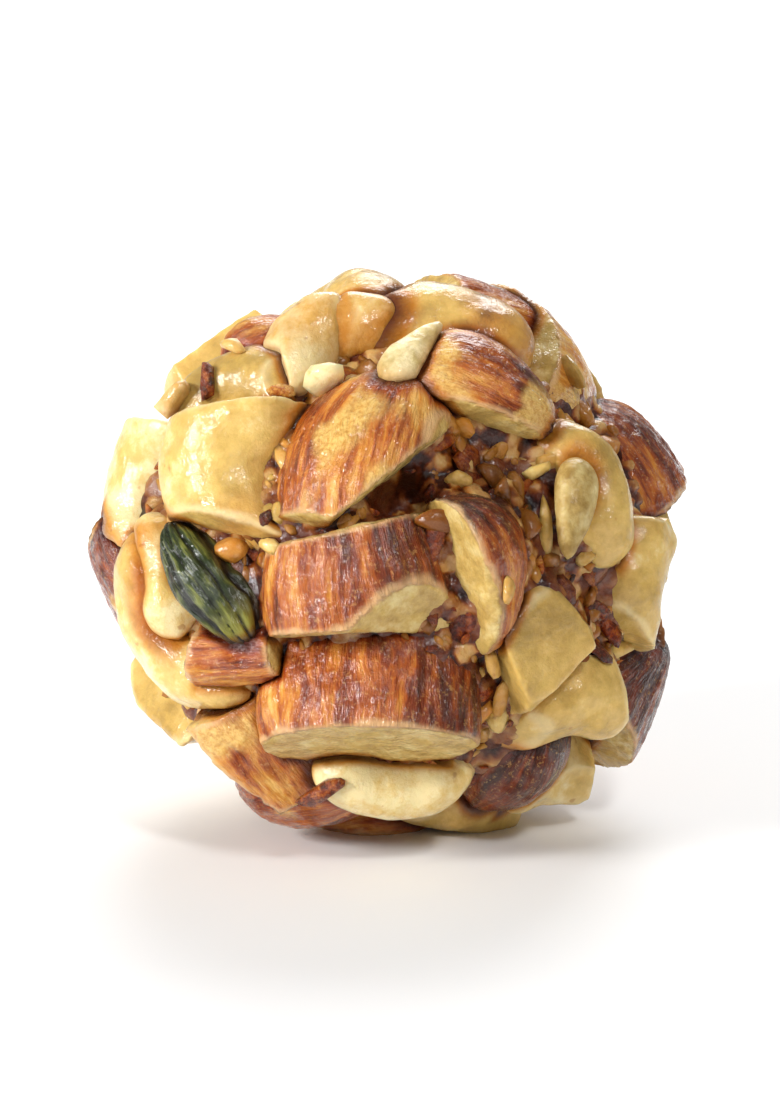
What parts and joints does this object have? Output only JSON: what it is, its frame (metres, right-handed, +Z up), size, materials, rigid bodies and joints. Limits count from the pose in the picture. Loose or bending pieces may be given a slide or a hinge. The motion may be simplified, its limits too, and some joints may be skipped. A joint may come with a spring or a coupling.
{
  "type": "dry fruit ladoo",
  "caption": "Ball-shaped sweet of chopped almonds, cashews, pistachios and melon seeds held together by a sticky binder.",
  "frame": {"origin": "middle of the small flat spot that the ball rests on", "axes": "+Z up from the flat spot through the ball's middle, -Y towards the ball's best side"},
  "size_m": [0.0388, 0.0389, 0.036],
  "materials": {
    "almond": "brown almond skin with pale chopped faces, thinly coated with syrup",
    "cashew": "smooth cream to golden cashew flesh, thinly coated with syrup",
    "pistachio": "dark green pistachio with darker ridges",
    "seed": "pale peeled melon seed",
    "binder": "sticky brown date and syrup binder full of nut crumbs"
  },
  "bodies": {
    "root": {"almond_end_dark": "almond", "almond_end_middle": "almond", "almond_end_right": "almond", "almond_half_foot": "almond", "almond_half_hollow": "almond", "almond_half_lower_right": "almond", "almond_quarter_low_left": "almond", "almond_side_13": "almond", "almond_side_15": "almond", "almond_side_18": "almond", "almond_side_2": "almond", "almond_side_20": "almond", "almond_side_24": "almond", "almond_side_26": "almond", "almond_side_4": "almond", "almond_side_7": "almond", "almond_side_9": "almond", "almond_slab_lower": "almond", "almond_slab_upper": "almond", "almond_sliver_left": "almond", "almond_split_crown": "almond", "almond_split_top": "almond", "almond_split_under": "almond", "binder": "binder", "cashew_block_right": "cashew", "cashew_cheek": "cashew", "cashew_cheek_left": "cashew", "cashew_chunk_low": "cashew", "cashew_chunk_right": "cashew", "cashew_chunk_shoulder": "cashew", "cashew_chunk_top_left": "cashew", "cashew_chunk_under": "cashew", "cashew_crescent_brow": "cashew", "cashew_crescent_low": "cashew", "cashew_curl_behind": "cashew", "cashew_curl_left": "cashew", "cashew_curl_right": "cashew", "cashew_ring_right": "cashew", "cashew_side_1": "cashew", "cashew_side_10": "cashew", "cashew_side_12": "cashew", "cashew_side_14": "cashew", "cashew_side_16": "cashew", "cashew_side_17": "cashew", "cashew_side_19": "cashew", "cashew_side_21": "cashew", "cashew_side_23": "cashew", "cashew_side_25": "cashew", "cashew_side_27": "cashew", "cashew_side_28": "cashew", "cashew_side_3": "cashew", "cashew_side_5": "cashew", "cashew_side_6": "cashew", "cashew_side_8": "cashew", "cashew_top": "cashew", "pistachio_front": "pistachio", "pistachio_side_11": "pistachio", "pistachio_side_22": "pistachio", "seed_front": "seed", "seed_top": "seed"}
  },
  "joints": []
}
